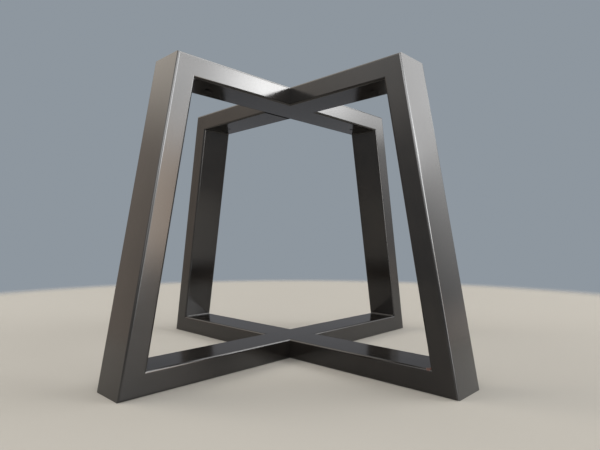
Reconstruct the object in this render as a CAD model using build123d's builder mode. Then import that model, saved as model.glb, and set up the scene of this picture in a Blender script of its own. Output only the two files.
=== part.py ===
from build123d import *
import os
from collections import namedtuple
from math import atan2, cos, hypot, pi, sin

# Table base welded from rectangular steel tube: two trapezoid frames that cross at right angles.
# The through frame stands along X, and its bars run whole through the crossings.
# The halved frame stands along Y, and its bars are cut in two and butt on the through bars.
# Origin on the floor under the crossing, +Z up, all sizes in millimetres.

# Outline of each frame, over the outsides of its tubes
base_height = 720
floor_length = 1025
top_length = 775

# Rectangular tube, laid with its wide side across the frame
tube_width = 100
tube_depth = 50
tube_wall = 3
tube_inner_corner = 2

# Screw holes for the tabletop, one in each arm, through both walls of the bar
screw_hole_diameter = 10
screw_hole_offset = 280

# Fillet welds left as laid in the inner corners of each frame
bead_leg = 5
bead_crown = 0.7

# How far the ground-flush seam welds stop short of the flat of the through bars
seam_tip_clearance = 1

# Raw tube left beyond each cut before the saw takes it off
saw_allowance = 20

# Sizes that follow from those above
tube_corner = tube_inner_corner + tube_wall
flat_width = tube_width - 2 * tube_corner
seam_weld_width = tube_corner - seam_tip_clearance
leg_run = (floor_length - top_length) / 2
leg_length = hypot(leg_run, base_height)
leg_lean = atan2(leg_run, base_height)

# Directions: the four arms of the cross, and up
left = Vector(-1, 0, 0)
right = Vector(1, 0, 0)
front = Vector(0, -1, 0)
rear = Vector(0, 1, 0)
up = Vector(0, 0, 1)
through_arms = {"left": left, "right": right}
halved_arms = {"front": front, "rear": rear}
all_arms = through_arms | halved_arms

# The two levels of bars: the height of their outer face, how far they reach from the middle,
# and whether the frame lies above the level (1) or below it (-1)
Level = namedtuple("Level", "name outside reach inward")
bottom_level = Level("bottom", 0, floor_length / 2, 1)
top_level = Level("top", base_height, top_length / 2, -1)
levels = (top_level, bottom_level)


def across(arm):
    """The direction across a frame, square to its arm and level."""
    return up.cross(arm)


def mid_height(level):
    """Height of the centre line of the bars of one level."""
    return level.outside + level.inward * tube_depth / 2


def corner_angle(level):
    """Angle between bar and leg inside the corners of one level."""
    return pi / 2 - level.inward * leg_lean


def bar_plane(arm, level, distance):
    """Section plane of a bar, at a distance from the middle of the base."""
    origin = arm * distance + up * mid_height(level)
    return Plane(origin=origin, x_dir=across(arm), z_dir=arm)


def leg_plane(arm):
    """Section plane at the middle of a leg, with the sketch's Y towards the inside of the frame."""
    rise = (up * base_height - arm * leg_run).normalized()
    outward = across(arm).cross(rise)
    outer_middle = arm * (bottom_level.reach + top_level.reach) / 2 + up * base_height / 2
    return Plane(origin=outer_middle - outward * tube_depth / 2, x_dir=across(arm), z_dir=rise)


def mitre_plane(arm, level):
    """Plane of the mitre at one corner of a frame, with its normal on the leg's side."""
    half_angle = corner_angle(level) / 2
    normal = arm * sin(half_angle) + up * level.inward * cos(half_angle)
    origin = arm * level.reach + up * level.outside
    return Plane(origin=origin, x_dir=across(arm), z_dir=normal)


def inner_corner_plane(arm, level):
    """Plane across a corner weld: origin at the inner corner, X along the bar, Y into the frame."""
    half_angle = corner_angle(level) / 2
    inset = arm * tube_depth / (sin(half_angle) / cos(half_angle))
    origin = arm * level.reach - inset + up * (level.outside + level.inward * tube_depth)
    return Plane(origin=origin, x_dir=-arm, z_dir=across(arm) * level.inward)


def tube_section():
    """Hollow section of the tube, drawn in the open sketch with its wide side along X."""
    RectangleRounded(tube_width, tube_depth, tube_corner)
    inner_width = tube_width - 2 * tube_wall
    inner_depth = tube_depth - 2 * tube_wall
    RectangleRounded(inner_width, inner_depth, tube_inner_corner, mode=Mode.SUBTRACT)


def bead_outline(angle):
    """Outline of a fillet weld, drawn in the open line: two flat legs and a crowned face."""
    first_toe = Vector(bead_leg, 0)
    second_toe = Vector(bead_leg * cos(angle), bead_leg * sin(angle))
    Polyline(second_toe, (0, 0), first_toe)
    face_middle = (first_toe + second_toe) / 2
    ThreePointArc(first_toe, face_middle + face_middle.normalized() * bead_crown, second_toe)


os.makedirs("parts", exist_ok=True)

# Through bars: one length of tube at the floor and one at the top, mitred at both ends.
for level in levels:
    with BuildPart() as through_bar:
        with BuildSketch(bar_plane(right, level, 0)):
            tube_section()
        extrude(amount=level.reach + saw_allowance, both=True)
        for arm in through_arms.values():
            split(bisect_by=mitre_plane(arm, level), keep=Keep.BOTTOM)
        if level is top_level:
            with Locations(*[arm * screw_hole_offset + up * base_height for arm in through_arms.values()]):
                Hole(screw_hole_diameter / 2)
    through_bar.part.label = f"through_{level.name}_bar"
    export_step(through_bar.part, f"parts/{through_bar.part.label}.step")

# Halved bars: each starts square against the side of a through bar and ends in a mitre.
for level in levels:
    for side, arm in halved_arms.items():
        with BuildPart() as halved_bar:
            with BuildSketch(bar_plane(arm, level, tube_width / 2)):
                tube_section()
            extrude(amount=level.reach - tube_width / 2 + saw_allowance)
            split(bisect_by=mitre_plane(arm, level), keep=Keep.BOTTOM)
            if level is top_level:
                with Locations(arm * screw_hole_offset + up * base_height):
                    Hole(screw_hole_diameter / 2)
        halved_bar.part.label = f"halved_{level.name}_bar_{side}"
        export_step(halved_bar.part, f"parts/{halved_bar.part.label}.step")

# Legs: four alike, leaning in towards the top, mitred at both ends to meet the bars.
for side, arm in all_arms.items():
    with BuildPart() as leg:
        with BuildSketch(leg_plane(arm)):
            tube_section()
        extrude(amount=leg_length / 2 + saw_allowance, both=True)
        for level in levels:
            split(bisect_by=mitre_plane(arm, level), keep=Keep.TOP)
    leg.part.label = f"leg_{side}"
    export_step(leg.part, f"parts/{leg.part.label}.step")

# Corner welds: a crowned fillet in each inner corner, as long as the flat of the tube is wide.
for level in levels:
    for side, arm in all_arms.items():
        with BuildPart() as corner_weld:
            with BuildSketch(inner_corner_plane(arm, level)):
                with BuildLine():
                    bead_outline(corner_angle(level))
                make_face()
            extrude(amount=flat_width / 2, both=True)
        corner_weld.part.label = f"corner_weld_{level.name}_{side}"
        export_step(corner_weld.part, f"parts/{corner_weld.part.label}.step")

# Seam welds: they fill the groove that the round edge of the through bar leaves beside each
# butt joint. The groove under the rear joint of the top crossing is left open.
for level in levels:
    for side, arm in halved_arms.items():
        with BuildPart() as seam_weld:
            for face in (level.inward, -level.inward):
                if level is top_level and arm is rear and face == level.inward:
                    continue
                edge = arm * tube_width / 2 + up * (mid_height(level) + face * tube_depth / 2)
                with BuildSketch(Plane(origin=edge, x_dir=-arm, z_dir=across(arm) * -face)):
                    Rectangle(seam_weld_width, seam_weld_width, align=Align.MIN)
                    with Locations((tube_corner, tube_corner)):
                        Circle(tube_corner, mode=Mode.SUBTRACT)
                extrude(amount=flat_width / 2, both=True)
        seam_weld.part.label = f"seam_weld_{level.name}_{side}"
        export_step(seam_weld.part, f"parts/{seam_weld.part.label}.step")
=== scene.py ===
from math import atan2, cos, pi, radians, sin, sqrt

import bmesh
import bpy
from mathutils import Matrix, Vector


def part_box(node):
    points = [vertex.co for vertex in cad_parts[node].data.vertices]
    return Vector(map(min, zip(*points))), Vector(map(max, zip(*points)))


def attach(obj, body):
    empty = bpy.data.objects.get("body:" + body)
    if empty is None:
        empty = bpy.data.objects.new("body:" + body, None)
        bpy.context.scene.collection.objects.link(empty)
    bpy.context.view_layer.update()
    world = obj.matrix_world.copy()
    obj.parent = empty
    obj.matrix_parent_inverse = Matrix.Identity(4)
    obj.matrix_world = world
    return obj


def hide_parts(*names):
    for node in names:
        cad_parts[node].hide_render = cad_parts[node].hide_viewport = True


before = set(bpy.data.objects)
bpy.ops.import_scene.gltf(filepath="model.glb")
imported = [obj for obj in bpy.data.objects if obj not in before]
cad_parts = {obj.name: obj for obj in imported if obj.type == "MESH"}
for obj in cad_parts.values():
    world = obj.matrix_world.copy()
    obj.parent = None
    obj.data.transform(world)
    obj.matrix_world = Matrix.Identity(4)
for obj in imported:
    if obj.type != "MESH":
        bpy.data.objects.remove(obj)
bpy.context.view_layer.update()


# Bars of the through frame: two lengths of flat rectangular steel tube, mitred at both ends.
# The steel is painted a dark brownish bronze that dries to a smooth gloss, and the grain that
# rolling left along the tube still shows through it very faintly.

# Turn that makes the marks run along X, and no shift of them.
ALONG_X = (0, pi / 2, 0)
NO_SHIFT = (0, 0, 0)

# Marks in steel and paint, in metres. A stretch is the width of a mark over its length, and a
# detail is how many layers of finer marks it holds.
GRAIN_WIDTH = 0.0011
GRAIN_STRETCH = 0.03
GRAIN_DEPTH = 0.000004
STREAK_WIDTH = 0.018
STREAK_STRETCH = 0.05
CLOUD_SIZE = 0.09
MARK_DETAIL = 3
PEEL_SIZE = 0.004
PEEL_DEPTH = 0.000004
PEEL_DETAIL = 1

# The paint goes from its dark to its light tone over a span of streaks and clouds together.
STREAK_SHARE = 0.3
TONE_SPAN = (0.35, 0.65)
BRONZE_DARK = (0.005, 0.0043, 0.0038, 1)
BRONZE_LIGHT = (0.0105, 0.0086, 0.0073, 1)
PAINT_IOR = 1.45
GLOSS_ROUGHNESS = (0.13, 0.19)

# The groove under the rear joint of the top crossing, which no weld fills, gets painted shade: its
# middle lies inset from the edge of the through bar, and the painted shade fades out from its
# reach to edge times as far.
GROOVE_INSET = 0.001
GROOVE_REACH = 0.0036
GROOVE_EDGE = 1.5
GROOVE_SHADE_COLOUR = (0.003, 0.0028, 0.0026, 1)
GROOVE_ROUGHNESS = 0.7
ACROSS_X = (0, 1, 1)
top_low, top_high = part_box("through_top_bar")
GROOVE_PLACE = (0, top_high[1] - GROOVE_INSET, top_low[2] + GROOVE_INSET)


def feed(tree, socket, value):
    """Gives an input a plain value, or links it to the output of another node."""
    if isinstance(value, bpy.types.NodeSocket):
        tree.links.new(value, socket)
    else:
        socket.default_value = value


def add_node(tree, kind, **settings):
    """A node of that kind, with those of its inputs and properties that are given by name."""
    node = tree.nodes.new(kind)
    for name, value in settings.items():
        title = name.replace("_", " ").title()
        if title in node.inputs:
            feed(tree, node.inputs[title], value)
        else:
            setattr(node, name, value)
    return node


def result_of(tree, kind, *values, **settings):
    """Output of a node that gets those values in the inputs it uses, in their order."""
    node = add_node(tree, kind, **settings)
    used = [socket for socket in node.inputs if socket.enabled]
    for socket, value in zip(used, values):
        feed(tree, socket, value)
    return next(socket for socket in node.outputs if socket.enabled)


def noise(tree, place, size, detail):
    """Noise whose blotches are about as wide as size, in metres."""
    node = add_node(tree, "ShaderNodeTexNoise", vector=place, scale=1 / size, detail=detail)
    return node.outputs["Fac"]


def make_rolled_grain():
    """Node group of the marks on a tube: grain and streaks drawn out along it, clouds and peel."""
    group = bpy.data.node_groups.new("rolled_grain", "ShaderNodeTree")
    turn = group.interface.new_socket("Grain Turn", in_out="INPUT", socket_type="NodeSocketVector")
    turn.subtype = "EULER"
    group.interface.new_socket("Shift", in_out="INPUT", socket_type="NodeSocketVector")
    for name in ("Grain", "Streaks", "Clouds", "Peel"):
        group.interface.new_socket(name, in_out="OUTPUT", socket_type="NodeSocketFloat")
    given = group.nodes.new("NodeGroupInput").outputs
    made = group.nodes.new("NodeGroupOutput").inputs
    place = group.nodes.new("ShaderNodeTexCoord").outputs["Object"]
    shifted = result_of(group, "ShaderNodeVectorMath", place, given["Shift"], operation="ADD")
    turned = result_of(
        group, "ShaderNodeVectorRotate", shifted, rotation_type="EULER_XYZ", rotation=given["Grain Turn"]
    )
    drawn_out = {"Grain": (GRAIN_WIDTH, GRAIN_STRETCH), "Streaks": (STREAK_WIDTH, STREAK_STRETCH)}
    for name, (width, stretch) in drawn_out.items():
        drawn = result_of(group, "ShaderNodeVectorMath", turned, (1, 1, stretch), operation="MULTIPLY")
        feed(group, made[name], noise(group, drawn, width, MARK_DETAIL))
    feed(group, made["Clouds"], noise(group, place, CLOUD_SIZE, MARK_DETAIL))
    feed(group, made["Peel"], noise(group, shifted, PEEL_SIZE, PEEL_DETAIL))
    return group


rolled_grain = make_rolled_grain()


def bronze_paint(name, grain_turn, shift, roughness=GLOSS_ROUGHNESS):
    """Dark bronze gloss paint on rolled steel, with the grain of the steel along the tube."""
    material = bpy.data.materials.new(name)
    material.use_nodes = True
    tree = material.node_tree
    shader = tree.nodes["Principled BSDF"].inputs
    shader["IOR"].default_value = PAINT_IOR
    marks = add_node(
        tree, "ShaderNodeGroup", node_tree=rolled_grain, grain_turn=grain_turn, shift=shift
    ).outputs
    clouds = result_of(tree, "ShaderNodeMath", marks["Clouds"], 1 - STREAK_SHARE, operation="MULTIPLY")
    tone = result_of(
        tree, "ShaderNodeMath", marks["Streaks"], STREAK_SHARE, clouds, operation="MULTIPLY_ADD"
    )
    spread = result_of(tree, "ShaderNodeMapRange", tone, *TONE_SPAN)
    colour = result_of(tree, "ShaderNodeMix", spread, BRONZE_DARK, BRONZE_LIGHT, data_type="RGBA")
    feed(tree, shader["Base Color"], colour)
    smoothest, roughest = roughness
    gloss = result_of(tree, "ShaderNodeMapRange", marks["Clouds"], to_min=smoothest, to_max=roughest)
    feed(tree, shader["Roughness"], gloss)
    grain = result_of(tree, "ShaderNodeBump", distance=GRAIN_DEPTH, height=marks["Grain"])
    peel = result_of(tree, "ShaderNodeBump", distance=PEEL_DEPTH, height=marks["Peel"], normal=grain)
    feed(tree, shader["Normal"], peel)
    return material


def soft_mask(tree, value, none, full):
    """Mask that rises softly from nought to one as the value goes from none to full."""
    return result_of(tree, "ShaderNodeMapRange", value, none, full, interpolation_type="SMOOTHSTEP")


def cover_paint(material, mask, colour, roughness):
    """Shows another colour and roughness in place of the paint where the mask is one."""
    tree = material.node_tree
    shader = tree.nodes["Principled BSDF"].inputs
    for name, kind, other in (("Base Color", "RGBA", colour), ("Roughness", "FLOAT", roughness)):
        paint = shader[name].links[0].from_socket
        feed(tree, shader[name], result_of(tree, "ShaderNodeMix", mask, paint, other, data_type=kind))


def paint_groove_shade(material):
    """Paints shade down in the open groove, which runs along X, as a dark, rough metallic cover over the
    paint.
    """
    tree = material.node_tree
    place = tree.nodes.new("ShaderNodeTexCoord").outputs["Object"]
    section = result_of(tree, "ShaderNodeVectorMath", place, ACROSS_X, operation="MULTIPLY")
    away = result_of(tree, "ShaderNodeVectorMath", section, GROOVE_PLACE, operation="DISTANCE")
    painted_groove_shade = soft_mask(tree, away, GROOVE_REACH * GROOVE_EDGE, GROOVE_REACH)
    cover_paint(material, painted_groove_shade, GROOVE_SHADE_COLOUR, GROOVE_ROUGHNESS)
    feed(tree, tree.nodes["Principled BSDF"].inputs["Metallic"], painted_groove_shade)


def finish_nodes(material, *names):
    """Gives the named tubes that material in place of their plain one."""
    for name in names:
        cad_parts[name].data.materials[0] = material


through_bar_paint = bronze_paint("through_bar_paint", ALONG_X, NO_SHIFT)
# The through bars get painted shade in the open groove at the rear joint of the top crossing.
paint_groove_shade(through_bar_paint)
finish_nodes(through_bar_paint, "through_top_bar", "through_bottom_bar")


# Bars of the halved frame: four short lengths of the same painted tube, mitred at the leg and
# butted against the side of the through bars, so their grain runs the other way.
ALONG_Y = (pi / 2, 0, 0)
HALVED_SHIFT = (3, 1, 2)
halved_bar_paint = bronze_paint("halved_bar_paint", ALONG_Y, HALVED_SHIFT)
# The halved bars get the same painted shade in that groove.
paint_groove_shade(halved_bar_paint)
for level in ("top", "bottom"):
    for end in ("front", "rear"):
        finish_nodes(halved_bar_paint, "halved_%s_bar_%s" % (level, end))


# Legs: four lengths of the same painted tube, mitred top and bottom, that lean in towards the
# top. The grain follows the lean of each one, and no two are cut from the same stretch of tube.
bottom_low, bottom_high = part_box("through_bottom_bar")
LEAN = atan2(bottom_high[0] - top_high[0], top_high[2] - bottom_low[2])
LEG_TURNS = {"left": (0, -LEAN, 0), "right": (0, LEAN, 0), "front": (LEAN, 0, 0), "rear": (-LEAN, 0, 0)}
FIRST_LEG_SHIFT = Vector((0, 0, 5))
LEG_SHIFT_STEP = Vector((1, 2, 0))
for number, (side, turn) in enumerate(LEG_TURNS.items()):
    leg_shift = FIRST_LEG_SHIFT + number * LEG_SHIFT_STEP
    finish_nodes(bronze_paint("leg_paint_" + side, turn, leg_shift), "leg_" + side)


# Seam welds: the weld metal that closes the groove beside each butt joint, ground flush with the
# tube and painted over. The grinding ran across the tube, so its marks do too.
SEAM_SHIFT = (7, 3, 1)
ground_seam_paint = bronze_paint("ground_seam_paint", ALONG_X, SEAM_SHIFT)
for level in ("top", "bottom"):
    for end in ("front", "rear"):
        finish_nodes(ground_seam_paint, "seam_weld_%s_%s" % (level, end))


# Corner welds: a fillet bead left as laid in each inner corner between leg and bar, with the fine
# ripples of the moving puddle, a small blob at its start and end, and the same paint over it.
# Rust has broken through the paint at one end of the front bottom one.
BEAD_LEG = 0.005
BEAD_CROWN = 0.0007
BEAD_STEP = 0.0005
FACE_POINTS = 9
WELD_ROUGHNESS = (0.3, 0.5)
DIRECTIONS = {"left": (-1, 0), "right": (1, 0), "front": (0, -1), "rear": (0, 1)}

# How the bead swells and shrinks along its run: a share is that of its size.
RIPPLE_PITCH = 0.0026
RIPPLE_SHARE = 0.06
WANDER_PITCH = 0.017
WANDER_SHARE = 0.07
TIP_LENGTH = 0.0015
TIP_SHARE = 0.5
BLOB_LENGTH = 0.006
BLOB_SHARE = 0.3

# Rust spot: at the left end of the bead, inset from its outer edge. It fades out as the painted shade in
# the groove does.
RUST_INSET = 0.006
RUST_REACH = 0.008
RUST_EDGE = 1.4
RUST_GRAIN = 0.0016
RUST_DETAIL = 4
RUST_COLOUR = (0.065, 0.026, 0.017, 1)
RUST_ROUGHNESS = 0.85


def bead_scale(run, length, start):
    """How large the bead is at that length along it: ripples, slow wander, tips and blobs."""
    to_end = max(min(run, length - run), 0.0)
    ripple = 1 - RIPPLE_SHARE * (1 - abs(sin(pi * run / RIPPLE_PITCH + start)))
    wander = 1 - WANDER_SHARE * (1 + sin(2 * pi * run / WANDER_PITCH + start)) / 2
    inward = min(to_end / TIP_LENGTH, 1)
    tip = TIP_SHARE + (1 - TIP_SHARE) * sqrt(1 - (1 - inward) ** 2)
    blob = 1 - BLOB_SHARE * (1 - cos(pi * min(to_end / BLOB_LENGTH, 1))) / 2
    return ripple * wander * tip * blob


def corner_bead(level, side, start):
    """A closed rippled bead in one inner corner, as long as the weld in the measured model."""
    name = "corner_weld_%s_%s" % (level, side)
    low, high = (Vector(corner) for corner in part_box(name))
    arm = Vector((*DIRECTIONS[side], 0))
    across = Vector((-arm.y, arm.x, 0))
    inward = 1 if level == "bottom" else -1
    angle = pi / 2 - inward * LEAN
    outer_end = max(low.dot(arm), high.dot(arm))
    corner = arm * (outer_end + min(0.0, BEAD_LEG * cos(angle)))
    corner.z = low.z if level == "bottom" else high.z
    along_leg = Vector((0, 0, inward * sin(angle))) - arm * cos(angle)
    length = abs((high - low).dot(across))
    bar_toe = -arm * BEAD_LEG
    leg_toe = along_leg * BEAD_LEG
    out = (bar_toe + leg_toe).normalized()
    mesh = bmesh.new()
    rings = []
    steps = round(length / BEAD_STEP)
    for step in range(steps + 1):
        run = length * step / steps
        scale = bead_scale(run, length, start)
        middle = corner + across * (run - length / 2)
        ring = [mesh.verts.new(middle)]
        for point in range(FACE_POINTS):
            share = point / (FACE_POINTS - 1)
            bulge = out * BEAD_CROWN * sin(pi * share)
            ring.append(mesh.verts.new(middle + (bar_toe.lerp(leg_toe, share) + bulge) * scale))
        rings.append(ring)
    for first, second in zip(rings, rings[1:]):
        for point, vert in enumerate(first):
            after = (point + 1) % len(first)
            mesh.faces.new((vert, first[after], second[after], second[point]))
    mesh.faces.new(rings[0])
    mesh.faces.new(rings[-1])
    bmesh.ops.recalc_face_normals(mesh, faces=mesh.faces)
    data = bpy.data.meshes.new("bead_" + name)
    mesh.to_mesh(data)
    mesh.free()
    bead = bpy.data.objects.new("bead_" + name, data)
    bpy.context.scene.collection.objects.link(bead)
    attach(bead, "root")
    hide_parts(name)
    return bead


def rust_spot(material, place):
    """Lets rust break through the paint around one place, with a ragged edge."""
    tree = material.node_tree
    here = tree.nodes.new("ShaderNodeTexCoord").outputs["Object"]
    away = result_of(tree, "ShaderNodeVectorMath", here, place, operation="DISTANCE")
    ragged = noise(tree, here, RUST_GRAIN, RUST_DETAIL)
    uneven = result_of(tree, "ShaderNodeMath", ragged, RUST_REACH, away, operation="MULTIPLY_ADD")
    spot = soft_mask(tree, uneven, RUST_REACH * RUST_EDGE, RUST_REACH)
    cover_paint(material, spot, RUST_COLOUR, RUST_ROUGHNESS)


bead_paint = bronze_paint("painted_bead", ALONG_X, NO_SHIFT, WELD_ROUGHNESS)
rusty_paint = bronze_paint("painted_bead_with_rust", ALONG_X, NO_SHIFT, WELD_ROUGHNESS)
rust_place = Vector(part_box("corner_weld_bottom_front")[0]) + Vector((0, RUST_INSET, 0))
for paint in (rusty_paint, halved_bar_paint):
    rust_spot(paint, rust_place)
for number, side in enumerate(DIRECTIONS):
    for level in ("top", "bottom"):
        rusty = (level, side) == ("bottom", "front")
        bead = corner_bead(level, side, number)
        bead.data.materials.append(rusty_paint if rusty else bead_paint)


# Studio floor: a plain pale round floor that fades out into the backdrop at its rim. The camera
# sees it matte, and the paint mirrors it with a slight shine.
FLOOR_RADIUS = 2.35
FLOOR_FADE = 1.95
FLOOR_SIDES = 128
FLOOR_COLOUR = (0.372, 0.353, 0.318, 1)
FLOOR_ROUGHNESS = 0.5
FLOOR_SHINE = 0.42
bpy.ops.mesh.primitive_circle_add(vertices=FLOOR_SIDES, radius=FLOOR_RADIUS, fill_type="NGON")
floor = bpy.context.object
floor.name = "studio_floor"
floor_paint = bpy.data.materials.new("studio_floor_paint")
floor_paint.use_nodes = True
floor_tree = floor_paint.node_tree
floor_shader = floor_tree.nodes["Principled BSDF"].inputs
floor_shader["Base Color"].default_value = FLOOR_COLOUR
floor_shader["Roughness"].default_value = FLOOR_ROUGHNESS
floor_ray = floor_tree.nodes.new("ShaderNodeLightPath").outputs["Is Camera Ray"]
shine = result_of(floor_tree, "ShaderNodeMapRange", floor_ray, to_min=FLOOR_SHINE, to_max=0)
feed(floor_tree, floor_shader["Specular IOR Level"], shine)
floor_place = floor_tree.nodes.new("ShaderNodeTexCoord").outputs["Object"]
from_middle = result_of(floor_tree, "ShaderNodeVectorMath", floor_place, operation="LENGTH")
feed(floor_tree, floor_shader["Alpha"], soft_mask(floor_tree, from_middle, FLOOR_RADIUS, FLOOR_FADE))
floor.data.materials.append(floor_paint)


# Studio surroundings: a soft sky that the paint mirrors, dim at the horizon, warm on the left,
# as dark as the backdrop behind the object and bright behind the camera. The camera itself sees
# one plain grey backdrop.
HEADING = radians(43.91)
WARM_SIDE = radians(115)
BACKDROP = (0.27, 0.308, 0.347, 1)
MIRRORED_BACKDROP = (0.24, 0.245, 0.262)
LOWEST_SKY = -0.3
world = bpy.data.worlds.new("studio")
bpy.context.scene.world = world
world.use_nodes = True
sky_tree = world.node_tree
looking = sky_tree.nodes.new("ShaderNodeTexCoord").outputs["Generated"]
upward = add_node(sky_tree, "ShaderNodeSeparateXYZ", vector=looking).outputs["Z"]
rise = result_of(sky_tree, "ShaderNodeMapRange", upward, LOWEST_SKY)


def sky_ramp(*stops):
    """Light up the sky, from stops of an elevation in degrees and a grey level or a colour."""
    ramp = add_node(sky_tree, "ShaderNodeValToRGB", fac=rise)
    ramp.color_ramp.interpolation = "EASE"
    elements = ramp.color_ramp.elements
    while len(elements) < len(stops):
        elements.new(1)
    for element, (elevation, *light) in zip(elements, stops):
        colour = light if len(light) > 1 else light * 3
        element.position = (sin(radians(elevation)) - LOWEST_SKY) / (1 - LOWEST_SKY)
        element.color = (*colour, 1)
    return ramp.outputs["Color"]


def side_mask(azimuth, full, none):
    """Mask of one towards that compass direction, up to one angle from it and none at another."""
    flat = result_of(sky_tree, "ShaderNodeVectorMath", looking, (1, 1, 0), operation="MULTIPLY")
    unit = result_of(sky_tree, "ShaderNodeVectorMath", flat, operation="NORMALIZE")
    side = (cos(azimuth), sin(azimuth), 0)
    towards = result_of(sky_tree, "ShaderNodeVectorMath", unit, side, operation="DOT_PRODUCT")
    return soft_mask(sky_tree, towards, cos(none), cos(full))


plain_sky = sky_ramp((-8, 0.42), (-1, 0.55), (8, 0.62), (28, 1.6), (40, 2.2), (54, 2.2), (64, 0.3))
warm_sky = sky_ramp(
    (-8, 0.6, 0.52, 0.45), (0, 0.75, 0.64, 0.55), (18, 0.88, 0.76, 0.66),
    (31, 2.4, 2.2, 1.95), (40, 3, 2.75, 2.4), (54, 3, 2.75, 2.4), (64, 0.3),
)
back_sky = sky_ramp(
    (-10, 0.08), (-5, *MIRRORED_BACKDROP), (33, *MIRRORED_BACKDROP), (44, 1.3), (56, 1.3), (66, 0.3)
)
near_sky = sky_ramp((-10, 0.5), (0, 0.6), (7, 0.8), (14, 3.2), (20, 5), (26, 4), (34, 1), (45, 0.3))
sky = plain_sky
for side_sky, azimuth, full, none in (
    (warm_sky, WARM_SIDE, radians(12), radians(30)),
    (back_sky, HEADING, radians(40), radians(60)),
    (near_sky, HEADING + pi, radians(35), radians(60)),
):
    mask = side_mask(azimuth, full, none)
    sky = result_of(sky_tree, "ShaderNodeMix", mask, sky, side_sky, data_type="RGBA")
seen = sky_tree.nodes.new("ShaderNodeLightPath").outputs["Is Camera Ray"]
shown = result_of(sky_tree, "ShaderNodeMix", seen, sky, BACKDROP, data_type="RGBA")
feed(sky_tree, sky_tree.nodes["Background"].inputs["Color"], shown)


# Mirrored backdrop: a plain upright card close behind the object, as dark as the backdrop. Only
# the gloss of the paint shows it, so the undersides of the top bars mirror it and not the floor.
CARD_DISTANCE = 1.25
CARD_HALF_WIDTH = 1.6
CARD_HEIGHT = 0.6
BLACK = (0, 0, 0, 1)
behind = Vector((cos(HEADING), sin(HEADING), 0)) * CARD_DISTANCE
sideways = Vector((-sin(HEADING), cos(HEADING), 0)) * CARD_HALF_WIDTH
card_top = Vector((0, 0, CARD_HEIGHT))
card_corners = (
    behind - sideways, behind + sideways, behind + sideways + card_top, behind - sideways + card_top
)
card_mesh = bpy.data.meshes.new("mirrored_backdrop")
card_mesh.from_pydata(card_corners, [], [(0, 1, 2, 3)])
card = bpy.data.objects.new("mirrored_backdrop", card_mesh)
bpy.context.scene.collection.objects.link(card)
card.visible_camera = False
card.visible_diffuse = False
card.visible_shadow = False
card_paint = bpy.data.materials.new("mirrored_backdrop_paint")
card_paint.use_nodes = True
card_shader = card_paint.node_tree.nodes["Principled BSDF"].inputs
card_shader["Base Color"].default_value = BLACK
card_shader["Specular IOR Level"].default_value = 0
card_shader["Emission Color"].default_value = (*MIRRORED_BACKDROP, 1)
card_shader["Emission Strength"].default_value = 1
card_mesh.materials.append(card_paint)


# Mirrored cards: soft glowing panels that only the gloss of the paint shows. Those on the right
# and left give the faces of the tubes their sheen, and the tall pair at the front right and the
# high card behind the camera draw bright lines down the round edges of the legs.
RIGHT = radians(-48)
LEFT = radians(130)
FRONT_RIGHT = radians(-83)
WHITE = (1, 1, 1)
BLUISH = (0.95, 0.98, 1)
AMBER = (1, 0.8, 0.64)
CREAM = (1, 0.92, 0.82)
TALL_PAIR_ALONG = (-1.9, -1.3, 1.3, 1.9)


def soft_panel(name, azimuth, reach, along, up, radiance, colour=WHITE, tilt=0.0, mirrored=True):
    """A flat upright panel that faces the object from that compass direction and distance.

    along and up each give four places in metres: where the glow starts, is full, is still full
    and ends. along runs to the left as seen from the object, and tilt slants the panel in its own
    plane. A mirrored panel shows in the gloss alone, and any other one lights what is matte."""
    lamp = bpy.data.lights.new(name, "AREA")
    lamp.shape = "RECTANGLE"
    lamp.size = along[3] - along[0]
    lamp.size_y = up[3] - up[0]
    lamp.energy = pi * lamp.size * lamp.size_y * radiance
    lamp.color = colour
    lamp.use_nodes = True
    tree = lamp.node_tree
    surface = tree.nodes.new("ShaderNodeNewGeometry").outputs["Parametric"]
    spot = add_node(tree, "ShaderNodeSeparateXYZ", vector=surface).outputs
    strength = 1
    for axis, stops in enumerate((along, up)):
        start, full, still_full, end = ((stop - stops[0]) / (stops[3] - stops[0]) for stop in stops)
        for dark, bright in ((start, full), (end, still_full)):
            edge = soft_mask(tree, spot[axis], dark, bright)
            strength = result_of(tree, "ShaderNodeMath", strength, edge, operation="MULTIPLY")
    glow = next(node for node in tree.nodes if node.type == "EMISSION")
    feed(tree, glow.inputs["Strength"], strength)
    out = Vector((cos(azimuth), sin(azimuth), 0))
    across = Vector((-out.y, out.x, 0))
    shift = (along[0] + along[3]) / 2
    panel = bpy.data.objects.new(name, lamp)
    panel.location = out * reach + across * shift * cos(tilt)
    panel.location.z = (up[0] + up[3]) / 2 + shift * sin(tilt)
    panel.rotation_euler = (-out).to_track_quat("-Z", "Y").to_euler()
    panel.rotation_euler.rotate_axis("Z", tilt)
    panel.visible_diffuse = not mirrored
    panel.visible_glossy = mirrored
    bpy.context.scene.collection.objects.link(panel)


soft_panel(
    "diffuser", RIGHT, reach=3.06, along=(-1.6, -1.25, -0.6, 0.9), up=(1.05, 1.75, 3.8, 4.4),
    radiance=7.5, tilt=radians(14),
)
soft_panel(
    "hot_band", RIGHT, reach=3.0, along=(-0.84, -0.1, 0, 0.85), up=(1.45, 1.54, 1.76, 1.85),
    radiance=18.5, tilt=radians(-18),
)
soft_panel(
    "right_glow", RIGHT, reach=2.98, along=(0.35, 0.8, 1.1, 1.6), up=(-0.3, 2.4, 2.6, 3),
    radiance=2.1,
)
soft_panel(
    "warm_strip", RIGHT, reach=2.2, along=(-1.25, -1.05, -0.85, -0.55), up=(-0.1, 0.38, 0.75, 1.4),
    radiance=6.7, colour=AMBER,
)
soft_panel(
    "low_glow", RIGHT, reach=2.24, along=(0, 0.25, 0.75, 1), up=(-0.3, -0.1, 0.08, 0.32),
    radiance=0.5, colour=AMBER,
)
soft_panel(
    "rear_card", RIGHT, reach=1.0, along=(0.12, 0.24, 0.5, 0.6), up=(0.74, 0.88, 1, 1.1),
    radiance=2.6,
)
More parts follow.
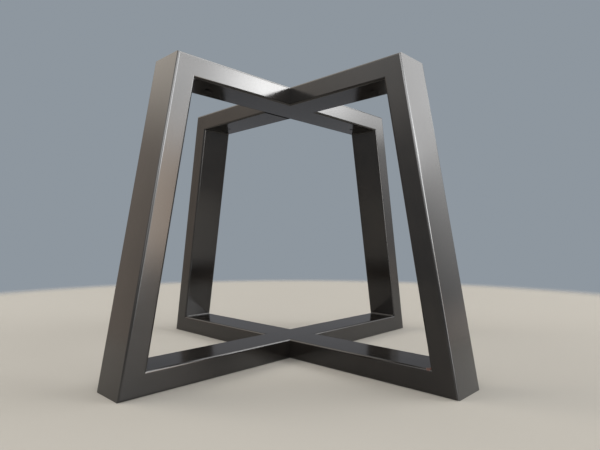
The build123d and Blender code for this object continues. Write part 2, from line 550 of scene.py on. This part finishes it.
soft_panel(
    "fill", LEFT, reach=3.0, along=(-0.6, 0, 1.4, 1.9), up=(1, 1.8, 2.6, 3),
    radiance=0.6, colour=CREAM,
)
soft_panel(
    "window_top", FRONT_RIGHT, reach=6.0, along=TALL_PAIR_ALONG, up=(1.4, 2, 4.2, 4.8),
    radiance=18, colour=BLUISH,
)
soft_panel(
    "window_foot", FRONT_RIGHT, reach=6.04, along=TALL_PAIR_ALONG, up=(-1.1, -0.5, 1.8, 2.4),
    radiance=6, colour=BLUISH,
)
soft_panel(
    "near_card", HEADING + pi, reach=6.5, along=(-4.6, -3.6, 3.6, 4.6), up=(2.4, 4.2, 6.6, 7.8),
    radiance=8,
)


# Spread lamps: two soft panels, right and left, that light the floor and whatever else is matte.
# The gloss doesn't show them.
SPREAD_ALONG = (-1.8, -1.2, 1.2, 1.8)
SPREAD_UP = (2.2, 2.7, 4.3, 4.8)
SPREAD_REACH = 4.5
soft_panel("right_spread", RIGHT, SPREAD_REACH, SPREAD_ALONG, SPREAD_UP, radiance=7, mirrored=False)
soft_panel("left_spread", LEFT, SPREAD_REACH, SPREAD_ALONG, SPREAD_UP, radiance=5.5, mirrored=False)


# Overhead card: a level square panel high up on the right. The round upper edges of the bars
# mirror it as a thin bright line.
OVERHEAD_PLACE = (2.1, -0.8, 3.4)
OVERHEAD_SIDE = 2.8
OVERHEAD_RADIANCE = 5
overhead = bpy.data.lights.new("overhead", "AREA")
overhead.shape = "SQUARE"
overhead.size = OVERHEAD_SIDE
overhead.energy = pi * OVERHEAD_SIDE ** 2 * OVERHEAD_RADIANCE
overhead_panel = bpy.data.objects.new("overhead", overhead)
overhead_panel.location = OVERHEAD_PLACE
overhead_panel.visible_diffuse = False
bpy.context.scene.collection.objects.link(overhead_panel)


# Camera: close and low, on the diagonal between the two frames, so that it looks up under the top
# bars. It points very slightly upwards.
CAMERA_PLACE = (-0.9095, -0.9141, 0.3158)
CAMERA_RISE = radians(1.645)
SENSOR_WIDTH = 36
LENS = 27.6
camera_data = bpy.data.cameras.new("photo_camera")
camera_data.sensor_width = SENSOR_WIDTH
camera_data.lens = LENS
camera = bpy.data.objects.new("photo_camera", camera_data)
camera.location = CAMERA_PLACE
camera.rotation_euler = (pi / 2 + CAMERA_RISE, 0, HEADING - pi / 2)
bpy.context.scene.collection.objects.link(camera)
bpy.context.scene.camera = camera
bpy.context.scene.view_settings.view_transform = "Standard"
